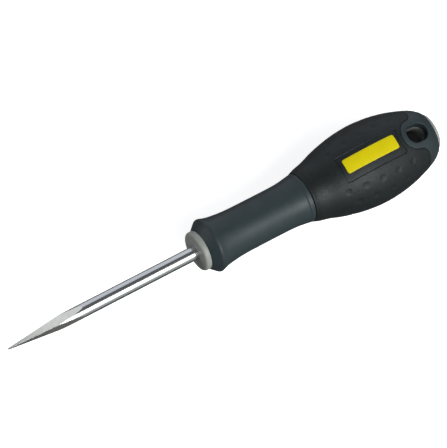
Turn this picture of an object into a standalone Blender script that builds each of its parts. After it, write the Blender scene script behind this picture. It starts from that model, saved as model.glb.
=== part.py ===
"""A scratch awl: a square-ground steel blade in a moulded three-shot handle.

The handle has a hard light-grey core, which shows as the front collar and the rear button, a hard slate
body over it, and a black soft-grip sleeve with a recessed pad on the label side and on the back. The tool
lies along X with its point towards -X and its label side up, and z = 0 is the surface that it lies on.
"""

import math

import bmesh
import bpy

MM = 0.001

# Stations and radii are in millimetres. A station runs along the tool's axis from the collar's front
# face, towards the rear of the handle.
GAP = 0.3
TURN_STEPS = 48

# Steel blade
BAR_RADIUS = 2.5
BAR_STEPS = 32
BLADE_REACH = 75.0
TANG_END = 62.0
GROUND_LENGTH = 34.0
GROUND_TAPER = 0.0843
GROUND_TURN = math.radians(21.5)
WING_STATIONS = (30.0, 38.0)
WING_HALF_SPAN = 3.6
WING_THICKNESS = 1.8

# Handle, outside
HANDLE_LENGTH = 100.0
COLLAR_RADIUS = 7.3
COLLAR_LENGTH = 2.25
COLLAR_FILLET = 1.0
NECK_OUTLINE = (
    (2.55, 7.55),
    (3.6, 8.5),
    (4.7, 9.5),
    (5.7, 10.05),
    (6.7, 9.8),
    (8.6, 9.22),
    (11.5, 8.78),
    (15.5, 8.42),
    (20.0, 8.32),
    (34.0, 8.32),
    (38.4, 8.48),
    (41.0, 8.8),
    (42.6, 9.11),
)
BAND_RADIUS = 9.11
BAND_END = 44.2
GRIP_START = 44.5
SWELL_OUTLINE = (
    (44.5, 9.4),
    (46.5, 10.15),
    (50.5, 11.1),
    (55.6, 12.74),
    (60.5, 13.92),
    (66.0, 14.84),
    (72.5, 15.27),
    (79.2, 14.85),
    (85.3, 13.78),
    (90.5, 12.3),
    (94.5, 10.85),
    (96.8, 9.6),
    (98.2, 8.3),
)
GRIP_MAX_RADIUS = 15.27

# Handle, inside
ROD_RADIUS = 4.9
BUTTON_RADIUS = 7.2
BUTTON_FILLET = 1.0
GRIP_WALL = 2.6
BODY_WALL = 2.0
HEEL_STATION = 60.0

# Hanging hole, and the slate ring and tail round it
HOLE_STATION = 90.1
HOLE_HALF_LENGTH = 4.6
HOLE_HALF_WIDTH = 3.35
RING_STATION = 88.9
RING_RADIUS = 5.55
RING_LIP = 1.85
TAIL_STATION = 92.15
LOBE_RADIUS = 3.2

# Recessed pads and the label plate
PAD_STATIONS = (57.1, 82.5)
PAD_HALF_WIDTH = 5.1
PAD_CORNER = 1.1
PAD_DEPTH = 0.3
PLATE_STATIONS = (59.0, 80.5)
PLATE_HALF_WIDTH = 2.7
PLATE_SHIFT = 0.5
PLATE_CORNER = 0.8
PLATE_THICKNESS = 0.4

# The frame: the middle of the tool's length is at x = 0, and the back pad's long edges lie on z = 0.
COLLAR_X = (BLADE_REACH - HANDLE_LENGTH) / 2
AXIS_Z = math.sqrt(GRIP_MAX_RADIUS**2 - PAD_HALF_WIDTH**2)

COLOURS = {
    "blade": ((0.62, 0.63, 0.65), 0.22, 1.0),
    "handle_core": ((0.26, 0.27, 0.25), 0.45, 0.0),
    "handle_body": ((0.045, 0.057, 0.063), 0.45, 0.0),
    "soft_grip": ((0.021, 0.024, 0.026), 0.62, 0.0),
    "label_plate": ((0.78, 0.66, 0.01), 0.4, 0.0),
}


def clear_scene():
    for obj in list(bpy.data.objects):
        bpy.data.objects.remove(obj, do_unlink=True)


def new_collection(name):
    collection = bpy.data.collections.new(name)
    bpy.context.scene.collection.children.link(collection)
    return collection


def material(name):
    colour, roughness, metallic = COLOURS[name]
    made = bpy.data.materials.new(name)
    made.use_nodes = True
    shader = made.node_tree.nodes["Principled BSDF"]
    shader.inputs["Base Color"].default_value = (*colour, 1.0)
    shader.inputs["Roughness"].default_value = roughness
    shader.inputs["Metallic"].default_value = metallic
    return made


def curve_radius(outline, station):
    """The radius at a station, on a smooth curve through an outline's points."""
    last = len(outline) - 1
    slopes = []
    for i in range(last + 1):
        before = outline[max(i - 1, 0)]
        after = outline[min(i + 1, last)]
        slopes.append((after[1] - before[1]) / (after[0] - before[0]))
    for i in range(last):
        (x0, r0), (x1, r1) = outline[i], outline[i + 1]
        if station <= x1 or i == last - 1:
            span = x1 - x0
            u = min(max((station - x0) / span, 0.0), 1.0)
            return (
                r0 * (2 * u**3 - 3 * u**2 + 1)
                + r1 * (3 * u**2 - 2 * u**3)
                + slopes[i] * span * (u**3 - 2 * u**2 + u)
                + slopes[i + 1] * span * (u**3 - u**2)
            )


def swell_radius(station):
    return curve_radius(SWELL_OUTLINE, station)


def sleeve_radius(station):
    """The slate body's outside where the soft grip covers it."""
    return swell_radius(station) - GRIP_WALL - GAP


def core_radius(station):
    """The light-grey core: a rod in the neck, full under the grip, and the button's radius at the tail."""
    least = ROD_RADIUS if station < HEEL_STATION else BUTTON_RADIUS
    return max(least, sleeve_radius(station) - BODY_WALL - GAP)


def stations(start, end, pitch):
    count = max(1, round((end - start) / pitch))
    return [start + (end - start) * i / count for i in range(count + 1)]


def arc(centre_station, centre_radius, radius, start, end, count=4):
    """Points of a round corner of a turned outline; 0 degrees points to the rear and 90 outwards."""
    points = []
    for i in range(count + 1):
        angle = math.radians(start + (end - start) * i / count)
        points.append(
            (
                centre_station + radius * math.cos(angle),
                centre_radius + radius * math.sin(angle),
            )
        )
    return points


def add_object(name, mesh, collection, frame):
    obj = bpy.data.objects.new(name, mesh)
    collection.objects.link(obj)
    obj.parent = frame
    return obj


def turned(name, outline, collection, frame, steps=TURN_STEPS, closed=False, merge_mm=0.01):
    """A solid of revolution about the tool's axis from (station, radius) points."""
    shape = bmesh.new()
    points = [shape.verts.new((x * MM, 0, r * MM)) for x, r in outline]
    ends = list(zip(points, points[1:]))
    if closed:
        ends.append((points[-1], points[0]))
    for pair in ends:
        shape.edges.new(pair)
    mesh = bpy.data.meshes.new(name)
    shape.to_mesh(mesh)
    shape.free()
    obj = add_object(name, mesh, collection, frame)
    screw = obj.modifiers.new("turn", "SCREW")
    screw.axis = "X"
    screw.steps = steps
    screw.render_steps = steps
    screw.use_merge_vertices = True
    screw.merge_threshold = merge_mm * MM
    return obj


def prism(name, outline, z_range, collection, frame):
    """A flat outline of (station, y) points, running up from one height to another."""
    shape = bmesh.new()
    low, high = z_range
    face = shape.faces.new([shape.verts.new((x * MM, y * MM, low * MM)) for x, y in outline])
    raised = bmesh.ops.extrude_face_region(shape, geom=[face])["geom"]
    moved = [part for part in raised if isinstance(part, bmesh.types.BMVert)]
    bmesh.ops.translate(shape, verts=moved, vec=(0, 0, (high - low) * MM))
    bmesh.ops.recalc_face_normals(shape, faces=shape.faces)
    mesh = bpy.data.meshes.new(name)
    shape.to_mesh(mesh)
    shape.free()
    return add_object(name, mesh, collection, frame)


def hanging_hole(cutters, frame):
    """The hole's long shape, right through the handle from front to back."""
    middle = HOLE_HALF_LENGTH - HOLE_HALF_WIDTH
    outline = arc(HOLE_STATION + middle, 0, HOLE_HALF_WIDTH, -90, 90, 16)
    outline += arc(HOLE_STATION - middle, 0, HOLE_HALF_WIDTH, 90, 270, 16)
    return prism("hanging_hole", outline, (-20, 20), cutters, frame)


def ring_lip(cutters, frame):
    """A disc on the ring's centre that keeps a lip of full-height grip in front of the ring."""
    outline = arc(RING_STATION, 0, RING_RADIUS + RING_LIP, 0, 352.5, 47)
    return prism("ring_lip", outline, (-20, 20), cutters, frame)


def rounded_rectangle(x_range, y_range, corner, count=4):
    points = []
    centres = (
        (x_range[1] - corner, y_range[1] - corner, 0),
        (x_range[0] + corner, y_range[1] - corner, 90),
        (x_range[0] + corner, y_range[0] + corner, 180),
        (x_range[1] - corner, y_range[0] + corner, 270),
    )
    for x, y, start in centres:
        points += arc(x, y, corner, start, start + 90, count)
    return points


def tail_outline(clearance):
    """The planform of the slate tail and ring, grown by a clearance: two round lobes of grip bite into it."""
    ring = RING_RADIUS + clearance
    edge = TAIL_STATION - clearance
    lobe = LOBE_RADIUS + GAP - clearance
    lobe_x = edge - lobe
    lobe_y = math.sqrt((ring + lobe) ** 2 - (lobe_x - RING_STATION) ** 2)
    toward = math.degrees(math.atan2(lobe_y, lobe_x - RING_STATION))
    side = 20.0
    rear = HANDLE_LENGTH + 2.0
    upper = [(edge, side)]
    upper += arc(lobe_x, lobe_y, lobe, 0, toward - 180, 8)
    upper += arc(RING_STATION, 0, ring, toward, 180, 14)
    lower = [(x, -y) for x, y in reversed(upper[:-1])]
    return upper + lower + [(rear, -side), (rear, side)]


def boolean(obj, operation, *others):
    for other in others:
        step = obj.modifiers.new(f"{operation.lower()} {other.name}", "BOOLEAN")
        step.operation = operation
        step.object = other


def smooth(obj):
    """Applies the modifiers and shades the result smooth, with its edges kept sharp."""
    graph = bpy.context.evaluated_depsgraph_get()
    mesh = bpy.data.meshes.new_from_object(obj.evaluated_get(graph))
    obj.modifiers.clear()
    obj.data = mesh
    mesh.shade_smooth()
    mesh.set_sharp_from_angle(angle=math.radians(35))


def finish_part(obj):
    smooth(obj)
    obj.data.materials.clear()
    obj.data.materials.append(material(obj.name))


def make_blade(parts, cutters, frame):
    """Round bar ground to a square point, with two swaged wings on the tang inside the handle."""
    tang_chamfer = 0.8
    bar = turned(
        "blade",
        [
            (TANG_END, 0),
            (TANG_END, BAR_RADIUS - tang_chamfer),
            (TANG_END - tang_chamfer, BAR_RADIUS),
            (-BLADE_REACH - 1, BAR_RADIUS),
            (-BLADE_REACH - 1, 0),
        ],
        parts,
        frame,
        BAR_STEPS,
    )
    ground_end = GROUND_LENGTH - BLADE_REACH
    corner = GROUND_TAPER * GROUND_LENGTH * math.sqrt(2)
    grind = turned(
        "grind_envelope",
        [(TANG_END + 2, 0), (TANG_END + 2, corner), (ground_end, corner), (-BLADE_REACH, 0)],
        cutters,
        frame,
        4,
    )
    grind.rotation_euler = (GROUND_TURN, 0, 0)
    wings = prism("tang_wings", wing_outline(0), wing_height(0), cutters, frame)
    boolean(bar, "INTERSECT", grind)
    boolean(bar, "UNION", wings)
    return bar


def wing_outline(clearance):
    start, end = WING_STATIONS
    slant = 1.5
    span = WING_HALF_SPAN + clearance
    return [
        (end + clearance, -span + slant),
        (end + clearance, span - slant),
        (end - slant, span),
        (start + slant, span),
        (start - clearance, span - slant),
        (start - clearance, -span + slant),
        (start + slant, -span),
        (end - slant, -span),
    ]


def wing_height(clearance):
    half = WING_THICKNESS / 2 + clearance
    return (-half, half)


def make_core(parts, cutters, frame):
    """The hard first shot: front collar, rod, full middle and rear button, moulded round the tang."""
    collar = arc(COLLAR_FILLET, COLLAR_RADIUS - COLLAR_FILLET, COLLAR_FILLET, 90, 180)
    button = arc(HANDLE_LENGTH - BUTTON_FILLET, BUTTON_RADIUS - BUTTON_FILLET, BUTTON_FILLET, 0, 90)
    middle = [(x, core_radius(x)) for x in reversed(stations(50.0, 94.0, 3.0))]
    outline = [(HANDLE_LENGTH, 0)] + button + middle
    outline += [(47.0, ROD_RADIUS), (COLLAR_LENGTH, ROD_RADIUS), (COLLAR_LENGTH, COLLAR_RADIUS)]
    outline += collar + [(0, 0)]
    core = turned("handle_core", outline, parts, frame)
    bore = turned(
        "tang_bore",
        [
            (TANG_END + GAP, 0),
            (TANG_END + GAP, BAR_RADIUS + GAP),
            (-1, BAR_RADIUS + GAP),
            (-1, 0),
        ],
        cutters,
        frame,
        BAR_STEPS,
    )
    slot = prism("wing_slot", wing_outline(GAP), wing_height(GAP), cutters, frame)
    boolean(core, "DIFFERENCE", bore, slot, hanging_hole(cutters, frame))
    return core


def make_body(parts, cutters, frame):
    """The hard slate shot: neck with its flared front, sleeve under the grip, tail and ring."""
    neck = [(x, curve_radius(NECK_OUTLINE, x)) for x in neck_stations()]
    sleeve = [(x, sleeve_radius(x)) for x in stations(GRIP_START, 93.0, 3.5)]
    front = COLLAR_LENGTH + GAP
    outer = [(front, ROD_RADIUS + GAP)] + neck
    outer += [(BAND_END, BAND_RADIUS), (BAND_END, sleeve_radius(GRIP_START))] + sleeve[1:]
    inner = [(x, core_radius(x) + GAP) for x in reversed(stations(50.0, 93.0, 3.5))]
    inner += [(47.0, ROD_RADIUS + GAP)]
    body = turned("handle_body", list(reversed(outer + inner)), parts, frame, closed=True)

    tail_end = SWELL_OUTLINE[-1][0]
    tail_outer = [(x, swell_radius(x)) for x in stations(83.0, tail_end, 1.9)]
    bore = BUTTON_RADIUS + GAP
    tail_inner = [(x, core_radius(x) + GAP - 0.05) for x in reversed(stations(83.0, 89.0, 3.0))]
    tail = turned(
        "tail_block",
        list(reversed(tail_outer + [(tail_end, bore)] + tail_inner)),
        cutters,
        frame,
        closed=True,
    )
    planform = prism("tail_planform", tail_outline(0), (-20, 20), cutters, frame)
    boolean(tail, "INTERSECT", planform)
    boolean(body, "UNION", tail)
    boolean(body, "DIFFERENCE", hanging_hole(cutters, frame))
    return body


def neck_stations():
    """Close together where the neck's flared front turns over, and far apart along its straight run."""
    close = stations(2.55, 8.6, 0.76)
    return close + [10.5, 13.0, 16.0, 20.0, 34.0, 37.0, 39.5, 41.2, 42.6]


def pad_cutter(name, x_range, y_range, corner, depth, cutters, frame):
    """The skin of the grip's label side over a rounded rectangle, down to a depth."""
    cutter = prism(name, rounded_rectangle(x_range, y_range, corner), (5, 20), cutters, frame)
    floor = turned(
        f"{name}_floor",
        [(88, 0)]
        + [(x, swell_radius(x) - depth) for x in reversed(stations(52.0, 88.0, 3.0))]
        + [(52, 0)],
        cutters,
        frame,
    )
    boolean(cutter, "DIFFERENCE", floor, ring_lip(cutters, frame))
    return cutter


def back_pad_cutter(cutters, frame):
    """The back's pad is flat across, so the tool lies on its two long edges and doesn't roll."""
    y_range = (-PAD_HALF_WIDTH, PAD_HALF_WIDTH)
    outline = rounded_rectangle(PAD_STATIONS, y_range, PAD_CORNER)
    cutter = prism("back_pad", outline, (-20, -5), cutters, frame)
    edge = [(x, math.sqrt(swell_radius(x) ** 2 - PAD_HALF_WIDTH**2)) for x in stations(52.0, 88.0, 3.0)]
    section = [(x, z - PAD_DEPTH) for x, z in edge] + [(88, 0), (52, 0)]
    floor = prism("back_pad_floor", section, (-8, 8), cutters, frame)
    floor.rotation_euler = (-math.pi / 2, 0, 0)
    boolean(cutter, "DIFFERENCE", floor)
    return cutter


def make_grip(parts, cutters, frame):
    """The soft third shot: a sleeve with a recessed pad each side, and lobes round the slate ring."""
    rear = 95.0
    front = [(GRIP_START, sleeve_radius(GRIP_START) + GAP), (GRIP_START, swell_radius(GRIP_START))]
    outer = [(x, swell_radius(x)) for x in [45.3] + stations(46.5, rear, 2.2)]
    inner = [(x, sleeve_radius(x) + GAP) for x in reversed(stations(47.6, rear, 3.5))]
    grip = turned("soft_grip", list(reversed(front + outer + inner)), parts, frame, closed=True)
    planform = prism("tail_clearance", tail_outline(GAP), (-20, 20), cutters, frame)
    pad_y = (-PAD_HALF_WIDTH, PAD_HALF_WIDTH)
    pad = pad_cutter("label_pad", PAD_STATIONS, pad_y, PAD_CORNER, PAD_DEPTH, cutters, frame)
    back_pad = back_pad_cutter(cutters, frame)
    pocket_depth = PAD_DEPTH + PLATE_THICKNESS + GAP
    pocket_x = (PLATE_STATIONS[0] - GAP, PLATE_STATIONS[1] + GAP)
    low, high = plate_width()
    pocket = pad_cutter(
        "plate_pocket",
        pocket_x,
        (low - GAP, high + GAP),
        PLATE_CORNER + GAP,
        pocket_depth,
        cutters,
        frame,
    )
    boolean(grip, "DIFFERENCE", planform, pad, back_pad, pocket)
    return grip


def plate_width():
    return (PLATE_SHIFT - PLATE_HALF_WIDTH, PLATE_SHIFT + PLATE_HALF_WIDTH)


def make_plate(parts, cutters, frame):
    """The plain yellow label plate, bent to the grip and flush with the pad's floor."""
    plate = prism(
        "label_plate",
        rounded_rectangle(PLATE_STATIONS, plate_width(), PLATE_CORNER),
        (5, 20),
        parts,
        frame,
    )
    skin = [(x, swell_radius(x) - PAD_DEPTH) for x in reversed(stations(52.0, 88.0, 3.0))]
    under = [(x, r - PLATE_THICKNESS) for x, r in skin]
    outside = turned("plate_outside", [(88, 0)] + skin + [(52, 0)], cutters, frame)
    inside = turned("plate_inside", [(88, 0)] + under + [(52, 0)], cutters, frame)
    boolean(plate, "INTERSECT", outside)
    boolean(plate, "DIFFERENCE", inside)
    return plate


def main():
    clear_scene()
    parts = new_collection("scratch_awl")
    cutters = new_collection("cutters")
    frame = bpy.data.objects.new("collar_centre", None)
    parts.objects.link(frame)
    frame.location = (COLLAR_X * MM, 0, AXIS_Z * MM)
    made = [
        make(parts, cutters, frame)
        for make in (make_blade, make_core, make_body, make_grip, make_plate)
    ]
    bpy.context.view_layer.update()
    for obj in made:
        finish_part(obj)
    for cutter in list(cutters.objects):
        bpy.data.objects.remove(cutter)
    bpy.data.collections.remove(cutters)


main()
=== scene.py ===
"""The scratch awl, dressed for the studio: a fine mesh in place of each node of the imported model, moulded,
ground and printed finishes, a pale floor, soft lights and a camera.

Shapes are worked out in the tool's own millimetres: x is the station along the axis from the collar's front
face, y runs across and z up from the axis. The angle round the axis is 0 on the label side, and grows
towards +y.
"""

import math

import bmesh
import bpy
import numpy as np
from mathutils import Matrix, Vector


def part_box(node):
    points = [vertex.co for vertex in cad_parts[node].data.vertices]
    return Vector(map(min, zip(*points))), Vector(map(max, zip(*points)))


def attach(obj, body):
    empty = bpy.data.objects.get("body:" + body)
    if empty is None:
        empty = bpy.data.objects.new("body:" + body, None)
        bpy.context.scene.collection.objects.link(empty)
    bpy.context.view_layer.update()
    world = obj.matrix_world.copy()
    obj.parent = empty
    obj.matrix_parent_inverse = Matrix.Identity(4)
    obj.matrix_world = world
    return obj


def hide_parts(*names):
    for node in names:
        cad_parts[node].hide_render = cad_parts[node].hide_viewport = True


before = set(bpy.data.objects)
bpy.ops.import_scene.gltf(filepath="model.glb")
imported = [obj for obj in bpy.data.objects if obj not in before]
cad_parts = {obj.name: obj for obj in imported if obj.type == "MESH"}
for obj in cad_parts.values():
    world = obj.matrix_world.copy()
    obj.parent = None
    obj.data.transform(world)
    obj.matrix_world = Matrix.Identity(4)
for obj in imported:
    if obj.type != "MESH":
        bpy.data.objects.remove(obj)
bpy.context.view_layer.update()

MM = 0.001
CORE_LOW, CORE_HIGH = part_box("handle_core")
COLLAR_X = CORE_LOW[0]
AXIS_Z = (CORE_LOW[2] + CORE_HIGH[2]) / 2
HANDLE_LENGTH = (CORE_HIGH[0] - CORE_LOW[0]) / MM
BLADE_REACH = (COLLAR_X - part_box("blade")[0][0]) / MM

# Clearance between neighbouring pieces, and the small radius on edges that meet another piece
SEAM = 0.05
EDGE_FILLET = 0.2

# Steel blade. The point's flats taper to POINT_HALF from the axis, and close within POINT_ROUND of the tip.
BAR_RADIUS = 2.5
TANG_END = 62.0
TANG_CLEARANCE = 0.4
GROUND_TAPER = 0.0778
GROUND_TURN = math.radians(-24)
RIDGE_ROUND = 0.035
POINT_HALF = 0.22
POINT_ROUND = 0.5
FLAT_STEPS = 6
RIDGE_STEPS = 24
FLAT_TOLERANCE = 0.02  # how far off a flat's plane a face may be and still be ground

# Handle, outside: outlines are (station, radius) points
COLLAR_RADIUS = 7.3
COLLAR_LENGTH = 2.25
COLLAR_FILLET = 0.9
NECK_FACE_RADIUS = 6.2
NECK_OUTLINE = (
    (2.35, 7.3),
    (3.2, 8.2),
    (4.1, 9.0),
    (4.8, 9.62),
    (5.25, 9.93),
    (5.7, 10.02),
    (6.2, 9.93),
    (7.0, 9.66),
    (8.6, 9.22),
    (11.5, 8.78),
    (15.5, 8.42),
    (20.0, 8.32),
    (34.0, 8.32),
    (38.4, 8.48),
    (41.0, 8.8),
    (43.0, 9.11),
    (44.4, 9.25),
)
RING_LINE = 42.55
RING_LINE_DEPTH = 0.14
RING_LINE_WIDTH = 0.16
BAND_END = 44.4
GRIP_START = 44.5
GRIP_LIP = 0.35
SWELL_OUTLINE = (
    (44.5, 9.4),
    (46.5, 10.15),
    (50.5, 11.1),
    (55.6, 12.74),
    (60.5, 13.92),
    (66.0, 14.84),
    (72.5, 15.27),
    (79.2, 14.85),
    (85.3, 13.78),
    (90.5, 12.3),
    (94.5, 10.85),
    (96.8, 9.6),
    (98.2, 8.3),
)
BUTTON_RADIUS = 7.2
BUTTON_FILLET = 0.9

# Handle, inside: the core is a rod up to ROD_END, and full from MIDDLE_START on
ROD_RADIUS = 4.9
ROD_END = 46.0
MIDDLE_START = 50.0
GRIP_WALL = 2.85
BODY_WALL = 2.25
HEEL_STATION = 60.0

# Hanging hole, and the slate ring and tail round it
HOLE_STATION = 90.1
HOLE_HALF_LENGTH = 4.6
HOLE_HALF_WIDTH = 3.35
HOLE_ROUND = 0.4
HOLE_ZONE = (84.0, 96.5)
HOLE_LOOP_REACH = 0.7  # a rim this near to the hole's outline, all the way round, is the hole's
RING_STATION = 88.9
RING_RADIUS = 5.7
RING_LIP = 1.7
TAIL_STATION = 92.0
LOBE_RADIUS = 3.35
SEAM_ROUND = 0.18
TAIL_END = 98.2
TAIL_ROUND = 0.5

# Recessed pads, label plate and dimples
PAD_STATIONS = (57.1, 82.5)
PAD_HALF_WIDTH = 5.1
PAD_CORNER = 1.1
PAD_DEPTH = 0.365
PAD_EDGE = 0.16
PLATE_STATIONS = (59.0, 80.5)
PLATE_MIDDLE = 0.5
PLATE_HALF_WIDTH = 2.7
PLATE_CORNER = 0.8
PLATE_THICKNESS = 0.06
PLATE_BEVEL = 0.03
PLATE_GLUE = 0.01  # between the pad's floor and the plate's underside
DIMPLE_RADIUS = 1.38
DIMPLE_DEPTH = 0.24
DIMPLE_PITCH = 6.7
# Rows as (angle, first station, count). Every second row is set back by half a pitch and has one fewer.
DIMPLE_FIRST_STATION = 56.5
DIMPLE_FIRST_ANGLE, DIMPLE_ROW_ANGLE = 35.4, 22.1
DIMPLE_ROWS = tuple(
    (
        math.radians(side * (DIMPLE_FIRST_ANGLE + DIMPLE_ROW_ANGLE * row)),
        DIMPLE_FIRST_STATION + (row % 2) * DIMPLE_PITCH / 2,
        5 - row % 2,
    )
    for side in (-1, 1)
    for row in range(6)
)

COLUMNS = 256  # round each turned surface
AXIS = Vector((COLLAR_X, 0, AXIS_Z))  # where station 0 is, in the scene


# ---------------------------------------------------------------- outlines


def curve_radius(outline, station):
    """The radius at each station, on a smooth curve through an outline's points."""
    points = np.array(outline)
    slopes = np.empty(len(points))
    slopes[1:-1] = (points[2:, 1] - points[:-2, 1]) / (points[2:, 0] - points[:-2, 0])
    slopes[0] = (points[1, 1] - points[0, 1]) / (points[1, 0] - points[0, 0])
    slopes[-1] = (points[-1, 1] - points[-2, 1]) / (points[-1, 0] - points[-2, 0])
    station = np.asarray(station, float)
    i = np.clip(np.searchsorted(points[:, 0], station) - 1, 0, len(points) - 2)
    span = points[i + 1, 0] - points[i, 0]
    u = np.clip((station - points[i, 0]) / span, 0, 1)
    return (
        points[i, 1] * (2 * u**3 - 3 * u**2 + 1)
        + points[i + 1, 1] * (3 * u**2 - 2 * u**3)
        + slopes[i] * span * (u**3 - 2 * u**2 + u)
        + slopes[i + 1] * span * (u**3 - u**2)
    )


def swell_radius(x):
    return curve_radius(SWELL_OUTLINE, x)


def neck_radius(x):
    """The slate neck, with the fine line turned round it in front of the band."""
    line = RING_LINE_DEPTH * np.exp(-(((x - RING_LINE) / RING_LINE_WIDTH) ** 2))
    return curve_radius(NECK_OUTLINE, x) - line


def sleeve_radius(x):
    """Where the soft grip lies on the slate body."""
    return swell_radius(x) - GRIP_WALL


def core_radius(x):
    """The core's outside, under the slate body."""
    least = np.where(np.asarray(x) < HEEL_STATION, ROD_RADIUS, BUTTON_RADIUS)
    return np.maximum(least, sleeve_radius(x) - BODY_WALL)


def bore_radius(x):
    """The slate body's inside, round the core."""
    return core_radius(x) + SEAM


def arc(centre_x, centre_r, radius, start, end, count=6):
    """Points of a round corner; 0 degrees points to the rear and 90 outwards."""
    angles = np.radians(np.linspace(start, end, count + 1))
    return [(centre_x + radius * math.cos(t), centre_r + radius * math.sin(t)) for t in angles]


# ---------------------------------------------------------------- plan shapes
# Each gives a distance in plan, in millimetres, from an outline that is the same on both sides of the axis.


def seam_distance(x, y):
    """Positive in the slate tail and ring, negative in the grip."""
    y = np.abs(y)
    ring = RING_RADIUS - np.hypot(x - RING_STATION, y)
    tail = x - TAIL_STATION
    lobe_x = TAIL_STATION - LOBE_RADIUS
    lobe_y = math.sqrt((RING_RADIUS + LOBE_RADIUS) ** 2 - (lobe_x - RING_STATION) ** 2)
    to_ring = (RING_STATION - lobe_x, -lobe_y)
    beside_tail = y <= lobe_y
    beside_ring = (x - lobe_x) * to_ring[1] - (y - lobe_y) * to_ring[0] <= 0
    lobe = np.hypot(x - lobe_x, y - lobe_y) - LOBE_RADIUS
    return np.where(beside_tail & beside_ring, lobe, np.maximum(ring, tail))


def hole_distance(x, y):
    """Positive outside the hanging hole."""
    along = np.maximum(np.abs(x - HOLE_STATION) - (HOLE_HALF_LENGTH - HOLE_HALF_WIDTH), 0)
    return np.hypot(along, y) - HOLE_HALF_WIDTH


def rectangle_distance(x, y, x_range, half_width, corner):
    """Positive inside a rounded rectangle."""
    across = np.abs(y) - (half_width - corner)
    along = np.abs(x - sum(x_range) / 2) - ((x_range[1] - x_range[0]) / 2 - corner)
    outside = np.hypot(np.maximum(across, 0), np.maximum(along, 0))
    return corner - outside - np.minimum(np.maximum(across, along), 0)


# ---------------------------------------------------------------- turned surfaces with trimmed edges


class Skin:
    """A stretch of a turned surface that an outline in plan may trim."""

    def __init__(self, radius, keep=None, plan_radius=None):
        self.radius = radius
        self.keep = keep
        self.plan_radius = plan_radius or radius

    def level(self, x, angle):
        return self.keep(x, self.plan_radius(x) * np.sin(angle))

    def slope(self, x, angle):
        """The direction in plan in which the kept side lies."""
        y = self.plan_radius(x) * np.sin(angle)
        step = 0.01
        gx = (self.keep(x + step, y) - self.keep(x - step, y)) / (2 * step)
        gy = (self.keep(x, y + step) - self.keep(x, y - step)) / (2 * step)
        size = np.maximum(np.hypot(gx, gy), 1e-6)
        return gx / size, gy / size

    def shifted(self, x, angle, dx, dy):
        """The station and angle after a move in plan. At the tool's sides only the station changes."""
        y = self.plan_radius(x) * np.sin(angle) + dy
        new_x = x + dx
        sine = np.clip(y / self.plan_radius(new_x), -0.999, 0.999)
        turned = np.arcsin(sine)
        turned = np.where(np.cos(angle) >= 0, turned, np.pi - turned)
        turned = turned + 2 * np.pi * np.round((angle - turned) / (2 * np.pi))
        return new_x, np.where(np.abs(np.cos(angle)) > 0.2, turned, angle)


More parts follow.
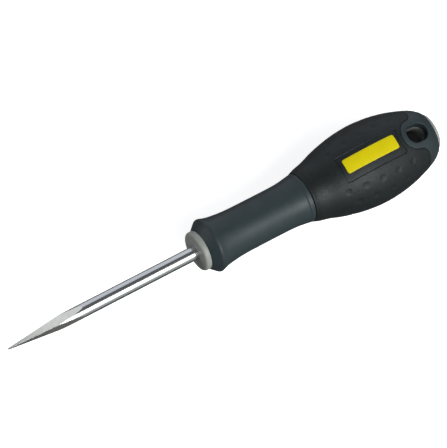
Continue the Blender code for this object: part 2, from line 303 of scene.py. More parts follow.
class Surface:
    """Vertices with their station, angle and radius, and the faces between them."""

    def __init__(self):
        self.x = np.empty(0)
        self.angle = np.empty(0)
        self.radius = np.empty(0)
        self.faces = []

    def add(self, x, angle, radius):
        first = len(self.x)
        self.x = np.append(self.x, x)
        self.angle = np.append(self.angle, angle)
        self.radius = np.append(self.radius, radius)
        return list(range(first, len(self.x)))

    def points(self):
        y = self.radius * np.sin(self.angle)
        z = self.radius * np.cos(self.angle)
        return np.stack([self.x, y, z], axis=1)

    def turn(self, rows, angles, skins):
        """Rows are (x, radius, skin name or None), in the order that faces the surface outwards."""
        count = len(angles)
        x = np.repeat([float(row[0]) for row in rows], count).reshape(-1, count)
        radius = np.repeat([float(row[1]) for row in rows], count).reshape(-1, count)
        angle = np.tile(angles, (len(rows), 1))
        names = np.array([row[2] or "" for row in rows])
        level = np.ones_like(x)
        for name, skin in skins.items():
            if skin.keep:
                level[names == name] = skin.level(x[names == name], angle[names == name])
        snap = crossings(level, names)
        for name, skin in skins.items():
            if not skin.keep:
                continue
            chosen = snap & (names == name)[:, None]
            sx, sa = x[chosen], angle[chosen]
            for _ in range(5):  # Newton steps on to the outline
                gx, gy = skin.slope(sx, sa)
                off = skin.level(sx, sa)
                sx, sa = skin.shifted(sx, sa, -off * gx, -off * gy)
            x[chosen], angle[chosen] = sx, sa
            radius[chosen] = skin.radius(sx)
        level[snap] = 0
        first = len(self.x)
        self.add(x.ravel(), angle.ravel(), radius.ravel())
        self.faces += kept_faces(np.sign(level), first)

    def rims(self):
        """The open edges, chained into loops of vertices."""
        ahead = {}
        halves = set()
        for face in self.faces:
            for a, b in zip(face, face[1:] + face[:1]):
                halves.add((a, b))
        for a, b in halves:
            if (b, a) not in halves:
                ahead[a] = b
        loops = []
        while ahead:
            start = min(ahead)
            loop = [start]
            following = ahead.pop(start)
            while following != start:
                loop.append(following)
                following = ahead.pop(following)
            loops.append(loop)
        return loops

    def strip(self, loop, following):
        """Quads between a rim and a loop made from it, vertex for vertex."""
        for k in range(len(loop)):
            a, b = loop[k], loop[(k + 1) % len(loop)]
            self.faces.append((b, a, following[k], following[(k + 1) % len(loop)]))

    def zip(self, loop, other):
        """Triangles between two rims that run opposite ways."""
        points = self.points()
        other = other[::-1]
        near = int(np.argmin(np.linalg.norm(points[other] - points[loop[0]], axis=1)))
        other = other[near:] + other[:near]
        a = loop + loop[:1]
        b = other + other[:1]
        i = j = 0
        while i < len(loop) or j < len(other):
            ahead_a = np.linalg.norm(points[a[i + 1]] - points[b[j]]) if i < len(loop) else math.inf
            ahead_b = np.linalg.norm(points[a[i]] - points[b[j + 1]]) if j < len(other) else math.inf
            if ahead_a <= ahead_b:
                self.faces.append((a[i + 1], a[i], b[j]))
                i += 1
            else:
                self.faces.append((a[i], b[j], b[j + 1]))
                j += 1

    def roll_over(self, loop, skin, reach, depths):
        """Rounds a rim: loops that go out in plan by reach and down along the radius by each depth."""
        x, angle = self.x[loop], self.angle[loop]
        gx, gy = skin.slope(x, angle)
        for out, down in round_steps(reach) + [(reach, depth) for depth in depths]:
            nx, na = skin.shifted(x, angle, -gx * out, -gy * out)
            made = self.add(nx, na, skin.radius(nx) - down)
            self.strip(loop, made)
            loop = made
        return loop

    def drop(self, loop, skin, reach, heights):
        """Rounds the hanging hole's rim, then takes its wall straight down to each height."""
        x, angle = self.x[loop], self.angle[loop]
        side = np.sign(np.cos(angle[0]))
        gx, gy = skin.slope(x, angle)
        y = self.radius[loop] * np.sin(angle)
        for out, down in round_steps(reach):
            nx, ny = x - gx * out, y - gy * out
            nz = np.sqrt(skin.radius(nx) ** 2 - ny**2) - down
            made = self.add(nx, np.arctan2(ny, side * nz), np.hypot(ny, nz))
            self.strip(loop, made)
            loop = made
        nx, ny = x - gx * reach, y - gy * reach
        for height in heights:
            nz = height(nx, ny)
            made = self.add(nx, np.arctan2(ny, side * nz), np.hypot(ny, nz))
            self.strip(loop, made)
            loop = made
        return loop


def round_steps(reach, count=4):
    """(out, down) along a quarter circle."""
    if not reach:
        return []
    angles = [math.pi / 2 * k / count for k in range(1, count + 1)]
    return [(reach * math.sin(t), reach * (1 - math.cos(t))) for t in angles]


def crossings(level, names):
    """The nearer end of each edge that crosses an outline."""
    snap = np.zeros(level.shape, bool)
    after = np.roll(level, -1, axis=1)
    crosses = level * after < 0
    nearer = np.abs(level) <= np.abs(after)
    snap |= crosses & nearer
    snap |= np.roll(crosses & ~nearer, 1, axis=1)
    same = (names[:-1] == names[1:])[:, None]
    crosses = (level[:-1] * level[1:] < 0) & same
    nearer = np.abs(level[:-1]) <= np.abs(level[1:])
    snap[:-1] |= crosses & nearer
    snap[1:] |= crosses & ~nearer
    return snap


def kept_faces(sign, first):
    """Quads on the kept side, and the kept half of each quad that an outline runs across."""
    rows, count = sign.shape
    index = np.arange(rows * count).reshape(rows, count) + first
    corners = np.stack(
        [index[:-1], index[1:], np.roll(index[1:], -1, axis=1), np.roll(index[:-1], -1, axis=1)],
        axis=-1,
    ).reshape(-1, 4)
    signs = sign.ravel()[corners - first]
    whole = (signs.min(axis=1) >= 0) & (signs.max(axis=1) > 0)
    faces = [tuple(quad) for quad in corners[whole].tolist()]
    mixed = (signs.min(axis=1) < 0) & (signs.max(axis=1) > 0)
    for quad, mark in zip(corners[mixed].tolist(), signs[mixed]):
        for k in range(4):
            if mark[k] > 0:
                faces.append((quad[k - 1], quad[k], quad[(k + 1) % 4]))
    return faces


def even(start, end, pitch):
    """Evenly spaced values from start to end, about a pitch apart."""
    return np.linspace(start, end, max(2, round(abs(end - start) / pitch) + 1))


# ---------------------------------------------------------------- pieces


def made_object(name, points, faces, node, material, sharp=35):
    """A piece from points in the tool's millimetres, that rides on the awl and stands for a CAD node."""
    place = np.array([COLLAR_X, 0, AXIS_Z])
    mesh = bpy.data.meshes.new(name)
    mesh.from_pydata((points * MM + place).tolist(), [], faces)
    shape = bmesh.new()
    shape.from_mesh(mesh)
    bmesh.ops.remove_doubles(shape, verts=shape.verts, dist=1e-4 * MM)
    loose = [v for v in shape.verts if not v.link_faces]
    bmesh.ops.delete(shape, geom=loose, context="VERTS")
    shape.to_mesh(mesh)
    shape.free()
    mesh.validate()
    mesh.shade_smooth()
    mesh.set_sharp_from_angle(angle=math.radians(sharp))
    obj = bpy.data.objects.new(name, mesh)
    bpy.context.collection.objects.link(obj)
    mesh.materials.append(material)
    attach(obj, "root")
    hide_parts(node)
    return obj


def ring_quads(rings):
    """Quads from each ring of points to the next."""
    count = len(rings[0])
    quads = []
    for i in range(len(rings) - 1):
        for j in range(count):
            k = (j + 1) % count
            quads.append((i * count + j, i * count + k, (i + 1) * count + k, (i + 1) * count + j))
    return quads


def ground_half(reach):
    """Half the width across the flats, at a distance from the slightly blunted point."""
    return GROUND_TAPER * reach + POINT_HALF * min(1.0, math.sqrt(reach / POINT_ROUND))


def blade_section(reach):
    """(y, z) points round the blade, at a distance from its point: four flats with a ridge or bar between."""
    half = ground_half(reach)
    turn = min(RIDGE_ROUND, half / 3)
    on_bar = math.sqrt(max(BAR_RADIUS**2 - half**2, 0))
    flat = min(half - turn, on_bar)
    ridge = []
    for k in range(1, RIDGE_STEPS):
        if flat < half - turn:
            edge = math.atan2(flat, min(half, BAR_RADIUS))
            t = edge + (math.pi / 2 - 2 * edge) * k / RIDGE_STEPS
            ridge.append((BAR_RADIUS * math.cos(t), BAR_RADIUS * math.sin(t)))
        else:
            t = math.pi / 2 * k / RIDGE_STEPS
            ridge.append((flat + turn * math.cos(t), flat + turn * math.sin(t)))
    out = min(half, BAR_RADIUS)
    face = [(out, flat * (2 * k / FLAT_STEPS - 1)) for k in range(FLAT_STEPS + 1)]
    quarter = face + ridge
    points = []
    for k in range(4):
        turned = GROUND_TURN + math.pi / 4 + k * math.pi / 2
        sine, cosine = math.sin(turned), math.cos(turned)
        points += [(out * sine + along * cosine, out * cosine - along * sine) for out, along in quarter]
    return points


def make_blade(material):
    """Round bar with a ground square point. The flats run out on the bar in long round-ended tongues."""
    full = (BAR_RADIUS - POINT_HALF) / GROUND_TAPER
    # Rows crowd at the tip, and towards the end of the flats, where the tongues turn round.
    reaches = [0, 0.02, 0.08, 0.2, 0.35, 0.5, 0.8]
    reaches += list(even(1.5, full * math.sin(math.pi / 4), 1.5))
    reaches += [full * math.sin(t) for t in np.linspace(math.pi / 4, math.pi / 2, 28)[1:]]
    reaches += list(even(full, BLADE_REACH + TANG_END, 6))[1:]
    rings = [[(x - BLADE_REACH, y, z) for y, z in blade_section(x)] for x in reaches]
    rings.append([(TANG_END, 0, 0)] * len(rings[0]))
    faces = [quad[::-1] for quad in ring_quads(rings)]
    points = np.array([point for ring in rings for point in ring])
    return made_object("blade_bar", points, faces, "blade", material, sharp=4.5)


def full_turn(count=COLUMNS):
    return np.linspace(0, 2 * math.pi, count, endpoint=False)


def plain(points):
    """Rows for Surface.turn that no outline trims."""
    return [(x, radius, None) for x, radius in points]


def on_top(surface, loop):
    """Whether a rim is on the label side."""
    return math.cos(surface.angle[loop[0]]) > 0


def round_hole_loops(surface):
    """The rims of the surface that lie round the hanging hole, outermost first."""
    found = []
    for loop in surface.rims():
        x = surface.x[loop]
        y = surface.radius[loop] * np.sin(surface.angle[loop])
        if np.abs(hole_distance(x, y)).max() < HOLE_LOOP_REACH:
            found.append(loop)
    return sorted(found, key=lambda loop: -surface.radius[loop].mean())


def round_tool_loops(surface):
    """The rims that run right round the tool, outermost first."""
    holes = [set(loop) for loop in round_hole_loops(surface)]
    found = [loop for loop in surface.rims() if set(loop) not in holes]
    return sorted(found, key=lambda loop: -surface.radius[loop].mean())


def make_core(material):
    """The light-grey first shot: collar, rod, full middle, button, and the deep part of the hole's wall."""
    skin = Skin(core_radius, hole_distance)
    tang_bore = BAR_RADIUS + SEAM
    bore_end = TANG_END + TANG_CLEARANCE
    collar = [(bore_end, 0), (bore_end, tang_bore), (0.06, tang_bore)]
    collar += [(0, r) for r in (tang_bore + 0.05, 3.5, 4.5, 5.5)]
    collar += arc(COLLAR_FILLET, COLLAR_RADIUS - COLLAR_FILLET, COLLAR_FILLET, 180, 90)
    collar += arc(COLLAR_LENGTH - EDGE_FILLET, COLLAR_RADIUS - EDGE_FILLET, EDGE_FILLET, 90, 0, 3)
    button = arc(HANDLE_LENGTH - BUTTON_FILLET, BUTTON_RADIUS - BUTTON_FILLET, BUTTON_FILLET, 90, 0)
    button += [(HANDLE_LENGTH, r) for r in (4.5, 2.5, 0)]
    rows = plain(collar + [(COLLAR_LENGTH, ROD_RADIUS), (ROD_END, ROD_RADIUS)])
    rows += [(x, core_radius(x), None) for x in even(MIDDLE_START, HOLE_ZONE[0] - 1, 1.5)]
    rows += [(x, core_radius(x), "core") for x in even(*HOLE_ZONE, 0.3)]
    rows += plain(button)
    core = Surface()
    core.turn(rows, full_turn(), {"core": skin})
    heights = [
        lambda x, y, part=part: np.sqrt(BUTTON_RADIUS**2 - y**2) * part for part in (0.66, 0.33, 0)
    ]
    ends = [core.drop(loop, skin, 0, heights) for loop in round_hole_loops(core)]
    core.zip(*ends)
    return made_object("core_collar_and_button", core.points(), core.faces, "handle_core", material)


def make_body(material):
    """The slate second shot: flared neck and band, the sleeve under the grip, and the tail with its ring."""
    edge = SEAM_ROUND + SEAM
    front = NECK_OUTLINE[0][0]
    tail = Skin(
        swell_radius,
        lambda x, y: np.minimum(seam_distance(x, y) - edge, hole_distance(x, y) - HOLE_ROUND),
    )
    bore = Skin(bore_radius, hole_distance)
    sleeve = Skin(
        lambda x: sleeve_radius(x) - SEAM, lambda x, y: SEAM - seam_distance(x, y), swell_radius
    )
    round_start = TAIL_END - TAIL_ROUND
    rows = [(x, swell_radius(x), "tail") for x in even(82.6, round_start, 0.28)]
    rear_radius = float(swell_radius(round_start))
    rows += plain(arc(round_start, rear_radius - TAIL_ROUND, TAIL_ROUND, 60, 0, 4))
    mouth = BUTTON_RADIUS + SEAM
    rows += plain([(TAIL_END, mouth + EDGE_FILLET), (TAIL_END - EDGE_FILLET, mouth)])
    rows += [(x, bore_radius(x), "bore") for x in even(*HOLE_ZONE[::-1], 0.3)]
    rows += [(x, bore_radius(x), None) for x in even(HOLE_ZONE[0] - 1, MIDDLE_START, 1.5)]
    rows += plain([(ROD_END, ROD_RADIUS + SEAM), (front, ROD_RADIUS + SEAM), (front, NECK_FACE_RADIUS)])
    # The neck's rows are close together at the flare, and closest at the fine line and the band.
    for start, end, pitch in ((front, 8.6, 0.15), (9, 41, 0.8), (41.2, BAND_END - 0.25, 0.06)):
        rows += [(x, neck_radius(x), None) for x in even(start, end, pitch)]
    band = float(neck_radius(BAND_END - EDGE_FILLET))
    rows += plain(arc(BAND_END - EDGE_FILLET, band - EDGE_FILLET, EDGE_FILLET, 85, 0, 4))
    rows += [(BAND_END, sleeve_radius(GRIP_START) - SEAM, None)]
    rows += [(x, sleeve_radius(x) - SEAM, None) for x in even(45, 81, 1.5)]
    rows += [(x, sleeve_radius(x) - SEAM, "sleeve") for x in even(82, 93, 0.5)]
    body = Surface()
    body.turn(rows, full_turn(), {"tail": tail, "bore": bore, "sleeve": sleeve})
    seams = round_tool_loops(body)
    holes = round_hole_loops(body)
    wall = body.roll_over(seams[0], tail, SEAM_ROUND, (0.9, 1.8, GRIP_WALL + SEAM))
    body.zip(wall, seams[1])

    def wall_height(x, y, part):
        """A height on the hole's wall, part of the way from its rounded rim down to the core."""
        rim = np.sqrt(swell_radius(x) ** 2 - y**2) - HOLE_ROUND
        return rim * (1 - part) + np.sqrt(bore_radius(x) ** 2 - y**2) * part

    steps = [lambda x, y, part=part: wall_height(x, y, part) for part in (0.33, 0.66, 1)]
    for top in (True, False):
        outer, inner = [loop for loop in holes if on_top(body, loop) == top]
        body.zip(body.drop(outer, tail, HOLE_ROUND, steps), inner)
    return made_object("body_neck_and_ring", body.points(), body.faces, "handle_body", material)


def ramp(distance, width):
    """A smooth rise from 0 to 1 over a width."""
    t = np.clip(distance / width, 0, 1)
    return t * t * (3 - 2 * t)


def dimples(x, angle):
    """How deep the rows of small round dimples are at each point of the grip."""
    depth = np.zeros_like(x)
    for row_angle, start, count in DIMPLE_ROWS:
        turned = (angle - row_angle + np.pi) % (2 * np.pi) - np.pi
        for k in range(count):
            station = start + k * DIMPLE_PITCH
            away = np.hypot(x - station, swell_radius(station) * turned) / DIMPLE_RADIUS
            depth = np.maximum(depth, DIMPLE_DEPTH * np.maximum(1 - away**2, 0))
    return depth


def pads(x, angle):
    """How deep the two recessed pads are. The front one follows the barrel, and the back is flat across."""
    skin = swell_radius(x)
    y = skin * np.sin(angle)
    inside = rectangle_distance(x, y, PAD_STATIONS, PAD_HALF_WIDTH, PAD_CORNER)
    lip = np.hypot(x - RING_STATION, y) - (RING_RADIUS + RING_LIP)
    front = PAD_DEPTH * ramp(np.minimum(inside, lip), PAD_EDGE)
    floor = np.sqrt(np.maximum(skin**2 - PAD_HALF_WIDTH**2, 1)) - PAD_DEPTH
    flat = skin - floor / np.maximum(-np.cos(angle), 0.5)
    back = flat * ramp(inside, PAD_EDGE)
    return np.where(np.cos(angle) > 0, front, np.where(np.cos(angle) < -0.5, back, 0))


def refined(values, zones, pitch):
    """Adds finer steps inside each (start, end) zone of a list of values."""
    for start, end in zones:
        values = values[(values <= start) | (values >= end)]
        values = np.append(values, even(start, end, pitch))
    return np.unique(np.round(values, 6))


def make_grip(material):
    """The soft third shot, with its dimples, recessed pads and the two lobes that reach round the ring."""
    edge = SEAM_ROUND + SEAM
    outside = Skin(swell_radius, lambda x, y: -seam_distance(x, y) - edge)
    inside = Skin(sleeve_radius, lambda x, y: -seam_distance(x, y) - SEAM, swell_radius)
    rows = [(x, sleeve_radius(x), "inside") for x in even(92.6, 82, 0.5)]
    rows += [(x, sleeve_radius(x), None) for x in even(81, GRIP_START, 1.5)]
    lip_x = GRIP_START + GRIP_LIP
    lip_r = float(swell_radius(lip_x)) - GRIP_LIP
    rows += plain(arc(lip_x, lip_r, GRIP_LIP, 180, 115, 5))
    pad_start, pad_end = PAD_STATIONS
    ends = [(pad_start - 0.1, pad_start + 0.45), (pad_end - 1.1, pad_end + 0.1)]
    rows += [(x, swell_radius(x), "outside") for x in refined(even(lip_x, 92.6, 0.26), ends, 0.06)]
    # The pads' long edges lie between these angles from the middle of the front and of the back.
    least, most = 0.318, 0.395
    sides = []
    for turn in (0, math.pi):
        sides += [(turn + least, turn + most), (turn + math.pi - most, turn + math.pi - least)]
    angles = refined(even(0, 2 * math.pi, 0.0185)[:-1], sides, 0.0045)
    grip = Surface()
    grip.turn(rows, angles, {"outside": outside, "inside": inside})
    outer = np.abs(grip.radius - swell_radius(grip.x)) < 1e-6
    x, angle = grip.x[outer], grip.angle[outer]
    sunk = np.maximum(dimples(x, angle), pads(x, angle))
    seams = round_tool_loops(grip)
    wall = grip.roll_over(seams[0], outside, SEAM_ROUND, (0.9, 1.8, GRIP_WALL))
    grip.zip(wall, seams[1])
    grip.radius[: len(outer)][outer] -= sunk
    return made_object("grip_sleeve", grip.points(), grip.faces, "soft_grip", material)


def make_plate(material):
    """The plain yellow plate, bent to the pad's floor, with a slightly rounded upper edge."""
    middle = (sum(PLATE_STATIONS) / 2, PLATE_MIDDLE)
    half_length = (PLATE_STATIONS[1] - PLATE_STATIONS[0]) / 2
    outline = []
    for sx, sy, start in ((1, 1, 0), (-1, 1, 90), (-1, -1, 180), (1, -1, 270)):
        corner = (sx * (half_length - PLATE_CORNER), sy * (PLATE_HALF_WIDTH - PLATE_CORNER))
        outline += arc(*corner, PLATE_CORNER, start, start + 90, 6)
    fine = []
    for (x0, y0), (x1, y1) in zip(outline, outline[1:] + outline[:1]):
        count = max(1, round(math.hypot(x1 - x0, y1 - y0) / 0.5))
        fine += [(x0 + (x1 - x0) * k / count, y0 + (y1 - y0) * k / count) for k in range(count)]
    outline = np.array(fine)
    bevel, over = PLATE_BEVEL, PLATE_THICKNESS
    # Each level is how far out it is, how far in from the outline, and how high above the pad's floor.
    levels = [(scale, 0, PLATE_GLUE) for scale in (0, 0.3, 0.6, 0.85, 1)]
    levels += [(1, 0, over - bevel), (1, 0.3 * bevel, over - 0.3 * bevel), (1, bevel, over)]
    levels += [(scale, bevel, over) for scale in (0.85, 0.6, 0.3, 0)]
    rings = []
    for scale, inset, height in levels:
        shrink = scale * (1 - inset / np.array([half_length, PLATE_HALF_WIDTH]))
        plan = outline * shrink
        x, y = plan[:, 0] + middle[0], plan[:, 1] + middle[1]
        radius = swell_radius(x) - PAD_DEPTH + height
        rings.append(np.stack([x, y, np.sqrt(radius**2 - y**2)], axis=1))
    return made_object("plate_face", np.concatenate(rings), ring_quads(rings), "label_plate", material)


# ---------------------------------------------------------------- finishes


class Finish:
    """A procedural material, in the tool's millimetres measured from the collar's front face."""

    def __init__(self, name, colour, roughness, metallic=0.0, specular=0.5):
        self.material = bpy.data.materials.new(name)
        self.material.use_nodes = True
        self.tree = self.material.node_tree
        self.shader = self.tree.nodes["Principled BSDF"]
        self.shader.inputs["Base Color"].default_value = (*colour, 1)
        self.shader.inputs["Roughness"].default_value = roughness
        self.shader.inputs["Metallic"].default_value = metallic
        self.shader.inputs["Specular IOR Level"].default_value = specular
        coordinates = self.tree.nodes.new("ShaderNodeTexCoord")
        place = self.tree.nodes.new("ShaderNodeMapping")
        place.vector_type = "POINT"
        place.inputs["Location"].default_value = (-COLLAR_X / MM, 0, -AXIS_Z / MM)
        place.inputs["Scale"].default_value = (1 / MM, 1 / MM, 1 / MM)
        self.tree.links.new(coordinates.outputs["Object"], place.inputs["Vector"])
        self.place = place.outputs["Vector"]

    def node(self, kind, settings=None, **inputs):
        """A node with its inputs linked or set. An input is named, or numbered after an underscore."""
        made = self.tree.nodes.new(kind)
        for key, value in (settings or {}).items():
            setattr(made, key, value)
        for key, value in inputs.items():
            socket = made.inputs[int(key[1:])] if key[0] == "_" else made.inputs[key]
            if isinstance(value, bpy.types.NodeSocket):
                self.tree.links.new(value, socket)
            else:
                socket.default_value = value
        return made

    def axes(self):
        """The station, and the distances across and above the axis."""
        return self.node("ShaderNodeSeparateXYZ", _0=self.place).outputs

    def stretched(self, x, y, z):
        """The place, scaled along each axis. A factor below 1 draws a texture out that way."""
        made = self.node("ShaderNodeVectorMath", {"operation": "MULTIPLY"}, _0=self.place, _1=(x, y, z))
        return made.outputs[0]

    def noise(self, size, detail=2.0, roughness=0.5, vector=None):
        """Soft noise from 0 to 1 with features of about a size in millimetres."""
        made = self.node(
            "ShaderNodeTexNoise",
            Vector=vector or self.place,
            Scale=1 / size,
            Detail=detail,
            Roughness=roughness,
        )
        return made.outputs["Fac"]

    def grain(self, size, vector=None):
        """Rounded grains of about a size in millimetres, as spark-eroded moulds leave."""
        made = self.node(
            "ShaderNodeTexVoronoi", {"feature": "SMOOTH_F1"}, Vector=vector or self.place, Scale=1 / size
        )
        return made.outputs["Distance"]

    def math(self, operation, a, b):
        return self.node("ShaderNodeMath", {"operation": operation}, _0=a, _1=b).outputs[0]

    def spread(self, value, low, high, to_low, to_high):
        """Maps low to high on to to_low to to_high, and holds the ends."""
        made = self.node("ShaderNodeMapRange", _0=value, _1=low, _2=high, _3=to_low, _4=to_high)
        return made.outputs[0]

    def band(self, value, rise, fall):
        """1 between two ramps, each a (start, end), and 0 outside them."""
        return self.math("MULTIPLY", self.spread(value, *rise, 0, 1), self.spread(value, *fall, 1, 0))

    def blend(self, factor, first, second):
        made = self.node("ShaderNodeMix", {"data_type": "RGBA"}, _0=factor, _6=first, _7=second)
        return made.outputs[2]

    def bump(self, height, distance, strength=1.0, normal=None):
        """Relief that is a distance deep, in millimetres."""
        inputs = {"Strength": strength, "Distance": distance * MM, "Height": height}
        if normal:
            inputs["Normal"] = normal
        return self.node("ShaderNodeBump", **inputs).outputs[0]

    def connect(self, **values):
        for key, value in values.items():
            self.tree.links.new(value, self.shader.inputs[key.replace("_", " ")])


def shade(colour, factor):
    """The colour made darker or lighter, with its alpha."""
    return tuple(min(1.0, c * factor) for c in colour) + (1,)


def moulded(
    name,
    colour,
    roughness,
    grain_size,
    grain_depth,
    contrast=0.14,
    specular=0.5,
    deep=False,
    pad_step_shade=False,
):
    """Moulded plastic or rubber: fine grain, faint flow marks, and uneven sheen from handling.

    A deep moulding gets painted shade inside the hanging hole, darkening below its mouth. The last flag
    paints a line of shade along the foot of its pads' front step.
    """
    made = Finish(name, colour, roughness, specular=specular)
    mottle = made.noise(5.0, 3.0, 0.6)
    fine = made.noise(0.5, 2.0, 0.7)
    mixed = made.math("ADD", made.math("MULTIPLY", mottle, 0.4), made.math("MULTIPLY", fine, 0.6))
    tone = made.spread(mixed, 0.3, 0.7, 0, 1)
    surface = made.blend(tone, shade(colour, 1 - contrast), shade(colour, 1 + contrast))
    # Painted shade: the wall of the hanging hole is darkened below its mouth, where little light reaches.
    if deep:
        station, _, height = made.axes()
        inside = made.band(station, (80, 84), (95, 97))
        hole_shade = made.math("MULTIPLY", inside, made.spread(height, 0.5, 5.0, 1, 0))
        surface = made.blend(hole_shade, surface, (0.006, 0.006, 0.008, 1))
    # Painted shade: a thin line along the foot of each pad's front step is darkened.
    if pad_step_shade:
        station, across, _ = made.axes()
        start = PAD_STATIONS[0]
        foot = made.band(station, (start - 0.1, start + 0.1), (start + 0.4, start + 0.7))
        aside = made.math("ABSOLUTE", across, 0)
        width = made.spread(aside, PAD_HALF_WIDTH - 0.6, PAD_HALF_WIDTH, 1, 0)
        surface = made.blend(made.math("MULTIPLY", foot, width), surface, shade(colour, 0.25))
    made.connect(Base_Color=surface)
    handling = made.noise(9.0, 2.0, 0.5)
    made.connect(Roughness=made.spread(handling, 0.3, 0.7, roughness - 0.05, roughness + 0.05))
    grains = made.grain(grain_size)
    waves = made.bump(made.noise(3.0, 1.0, 0.4), 0.02, 0.5)
    pebbles = made.bump(made.noise(0.45, 2.0, 0.7), 5 * grain_depth, 1.0, waves)
    made.connect(Normal=made.bump(grains, grain_depth, 1.0, pebbles))
    return made.material


def drawn_steel():
    """Polished round bar: fine lines along its length, with a faint cloudiness."""
    colour = (0.66, 0.67, 0.68)
    made = Finish("blade_polished", colour, 0.17, metallic=1.0)
    lines = made.noise(0.08, 3.0, 0.7, made.stretched(0.003, 1, 1))
    clouds = made.noise(3.0, 3.0, 0.6, made.stretched(0.15, 1, 1))
    tone = made.spread(clouds, 0.3, 0.7, 0, 1)
    made.connect(Base_Color=made.blend(tone, shade(colour, 0.95), shade(colour, 1.04)))
    made.connect(Roughness=made.spread(clouds, 0.3, 0.7, 0.16, 0.22))
    made.connect(Normal=made.bump(lines, 0.002, 0.5))
    return made.material


def ground_steel():
    """The point's flats: fine grinding marks across their length, and painted shade towards the tip."""
    colour = (0.92, 0.90, 0.83)
    made = Finish("blade_ground", colour, 0.34, metallic=1.0)
    marks = made.noise(0.07, 3.0, 0.75, made.stretched(1, 0.06, 0.06))
    clouds = made.noise(1.8, 3.0, 0.6)
    tone = made.spread(clouds, 0.3, 0.7, 0, 1)
    surface = made.blend(tone, shade(colour, 0.95), shade(colour, 1.05))
    # Painted shade: the flats' colour darkens towards the tip, standing in for how they catch less light
    # there.
    tip_shade = made.spread(made.axes()[0], -BLADE_REACH, -BLADE_REACH + 16, 0.8, 0)
    made.connect(Base_Color=made.blend(tip_shade, surface, shade(colour, 0.5)))
    made.connect(Roughness=made.spread(marks, 0.3, 0.7, 0.2, 0.28))
    made.connect(Normal=made.bump(marks, 0.0015, 0.5))
    return made.material


def printed_yellow():
    """Semi-gloss yellow plate with a faint orange peel."""
    colour = (0.74, 0.61, 0.003)
    made = Finish("plate_yellow", colour, 0.45, specular=0.15)
    peel = made.noise(0.6, 2.0, 0.5)
    clouds = made.noise(4.0, 2.0, 0.5)
    tone = made.spread(clouds, 0.3, 0.7, 0, 1)
    made.connect(Base_Color=made.blend(tone, shade(colour, 0.96), shade(colour, 1.03)))
    made.connect(Roughness=made.spread(peel, 0.3, 0.7, 0.40, 0.50))
    made.connect(Normal=made.bump(peel, 0.006, 0.4))
    return made.material


def paper_floor():
    """Near-white studio paper, lit from behind."""
    made = Finish("studio_paper", (0.86, 0.86, 0.86), 0.9, specular=0.1)
    fibres = made.noise(0.8, 3.0, 0.7)
    made.connect(Base_Color=made.blend(fibres, (0.85, 0.85, 0.85, 1), (0.87, 0.87, 0.87, 1)))
    made.shader.inputs["Emission Color"].default_value = (1, 1, 1, 1)
    made.shader.inputs["Emission Strength"].default_value = 0.75
    return made.material


FLOOR_HALF = 1.6
FLOOR_STEPS = 8
FLOOR_DROP = 0.0002


def make_floor():
    """A pale sheet under the tool, just clear of it."""
    shape = bmesh.new()
    bmesh.ops.create_grid(shape, x_segments=FLOOR_STEPS, y_segments=FLOOR_STEPS, size=FLOOR_HALF)
    bmesh.ops.translate(shape, verts=shape.verts, vec=(0, 0, -FLOOR_DROP))
    mesh = bpy.data.meshes.new("studio_floor")
    shape.to_mesh(mesh)
    shape.free()
    floor = bpy.data.objects.new("studio_floor", mesh)
    bpy.context.collection.objects.link(floor)
    mesh.materials.append(paper_floor())
    floor.visible_glossy = False
    floor.visible_diffuse = False


# ---------------------------------------------------------------- light and camera

TOOL_MIDDLE = Vector((0.03, 0, AXIS_Z))


def soft_light(name, direction, distance, size, power, colour):
    """A rectangular soft light, aimed at the tool from a direction. Power is in watts."""
    data = bpy.data.lights.new(name, "AREA")
    data.shape = "RECTANGLE"
    data.size, data.size_y = size
    data.energy = power
    data.color = colour
    obj = bpy.data.objects.new(name, data)
    bpy.context.collection.objects.link(obj)
    toward = Vector(direction).normalized()
    obj.location = TOOL_MIDDLE + toward * distance
    obj.rotation_euler = toward.to_track_quat("Z", "Y").to_euler()


def make_lights():
    soft_light("key", (0.22, -0.675, 0.74), 0.9, (1.55, 0.84), 6.6, (1.0, 1.0, 0.985))
    soft_light("key_centre", (0.06, -0.60, 0.76), 0.85, (0.40, 0.4), 3.2, (0.93, 1.0, 0.98))
    soft_light("fill", (0.32, 0.966, 0.26), 1.0, (1.6, 1.3), 4.6, (0.89, 0.935, 1.0))
    soft_light("low", (0.40, -1.0, 0.03), 1.0, (1.3, 0.7), 1.0, (0.95, 1.0, 0.98))
    soft_light("front", (-0.85, 0.50, 0.15), 1.0, (0.9, 0.7), 2.9, (1.0, 1.0, 1.0))
    world = bpy.data.worlds.new("studio")
    bpy.context.scene.world = world
    world.use_nodes = True
    background = world.node_tree.nodes["Background"]
    background.inputs["Color"].default_value = (0.93, 0.96, 1.0, 1)
    background.inputs["Strength"].default_value = 0.12


# The camera looks from above, in front of the point, and is turned so that the tool climbs to the right.
# It aims a little behind the collar: CAMERA_AIM is in millimetres along the axis and across it.
CAMERA_TILT = math.radians(20)
CAMERA_ROLL = math.radians(8.5)
CLIMB = math.radians(27.2)
CAMERA_DISTANCE = 0.9
CAMERA_AIM = (13.98, -4.3)
FOCAL_RATIO = 5.7824
SENSOR = 36.0


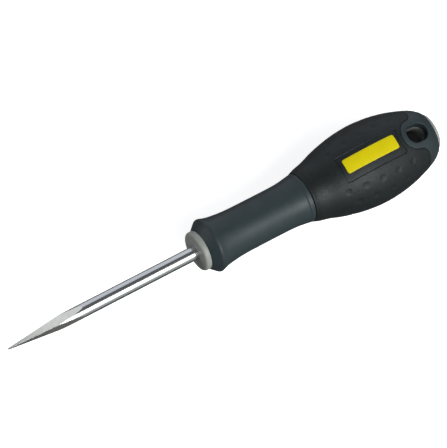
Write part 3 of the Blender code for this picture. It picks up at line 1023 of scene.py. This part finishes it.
def make_camera():
    """The studio's camera, with its long lens."""
    along = Vector((1, 0, 0))
    up = Vector((0, -math.sin(CAMERA_ROLL), math.cos(CAMERA_ROLL)))
    across = Vector((0, -math.cos(CAMERA_ROLL), -math.sin(CAMERA_ROLL)))
    back = up * math.cos(CAMERA_TILT) - along * math.sin(CAMERA_TILT)
    tool = along * math.cos(CAMERA_TILT) + up * math.sin(CAMERA_TILT)
    right = tool * math.cos(CLIMB) + across * math.sin(CLIMB)
    top = tool * math.sin(CLIMB) - across * math.cos(CLIMB)
    aim = AXIS + (along * CAMERA_AIM[0] + across * CAMERA_AIM[1]) * MM
    data = bpy.data.cameras.new("camera")
    data.sensor_width = SENSOR
    data.lens = SENSOR * FOCAL_RATIO
    data.clip_start = 0.01
    data.clip_end = 10
    camera = bpy.data.objects.new("camera", data)
    bpy.context.collection.objects.link(camera)
    matrix = Matrix((right, top, back)).transposed().to_4x4()
    matrix.translation = aim + back * CAMERA_DISTANCE
    camera.matrix_world = matrix
    bpy.context.scene.camera = camera
    bpy.context.scene.view_settings.view_transform = "Standard"


def grind_flats(blade, material):
    """Gives the flat faces of the point their own finish."""
    blade.data.materials.append(material)
    for face in blade.data.polygons:
        middle = (face.center - AXIS) / MM
        half = ground_half(max(middle.x + BLADE_REACH, 0))
        outward = Vector((0, face.normal.y, face.normal.z)).normalized()
        on_flat = abs(outward.dot(middle) - half) < FLAT_TOLERANCE
        if half < BAR_RADIUS and on_flat and face.normal.x < -0.05:
            face.material_index = 1


def main():
    make_camera()
    make_lights()
    make_floor()
    blade = make_blade(drawn_steel())
    grind_flats(blade, ground_steel())
    # The grey moulding has painted shade inside the hanging hole.
    grey = moulded("core_grey", (0.335, 0.345, 0.32), 0.42, 0.22, 0.006, deep=True)
    make_core(grey)
    slate = moulded("body_slate", (0.030, 0.043, 0.048), 0.42, 0.2, 0.008, specular=0.32)
    make_body(slate)
    black = (0.0120, 0.0160, 0.0172)
    # The rubber has painted shade along the foot of its pads' front step.
    rubber = moulded("grip_black", black, 0.46, 0.24, 0.02, 0.3, specular=0.30, pad_step_shade=True)
    make_grip(rubber)
    make_plate(printed_yellow())


main()
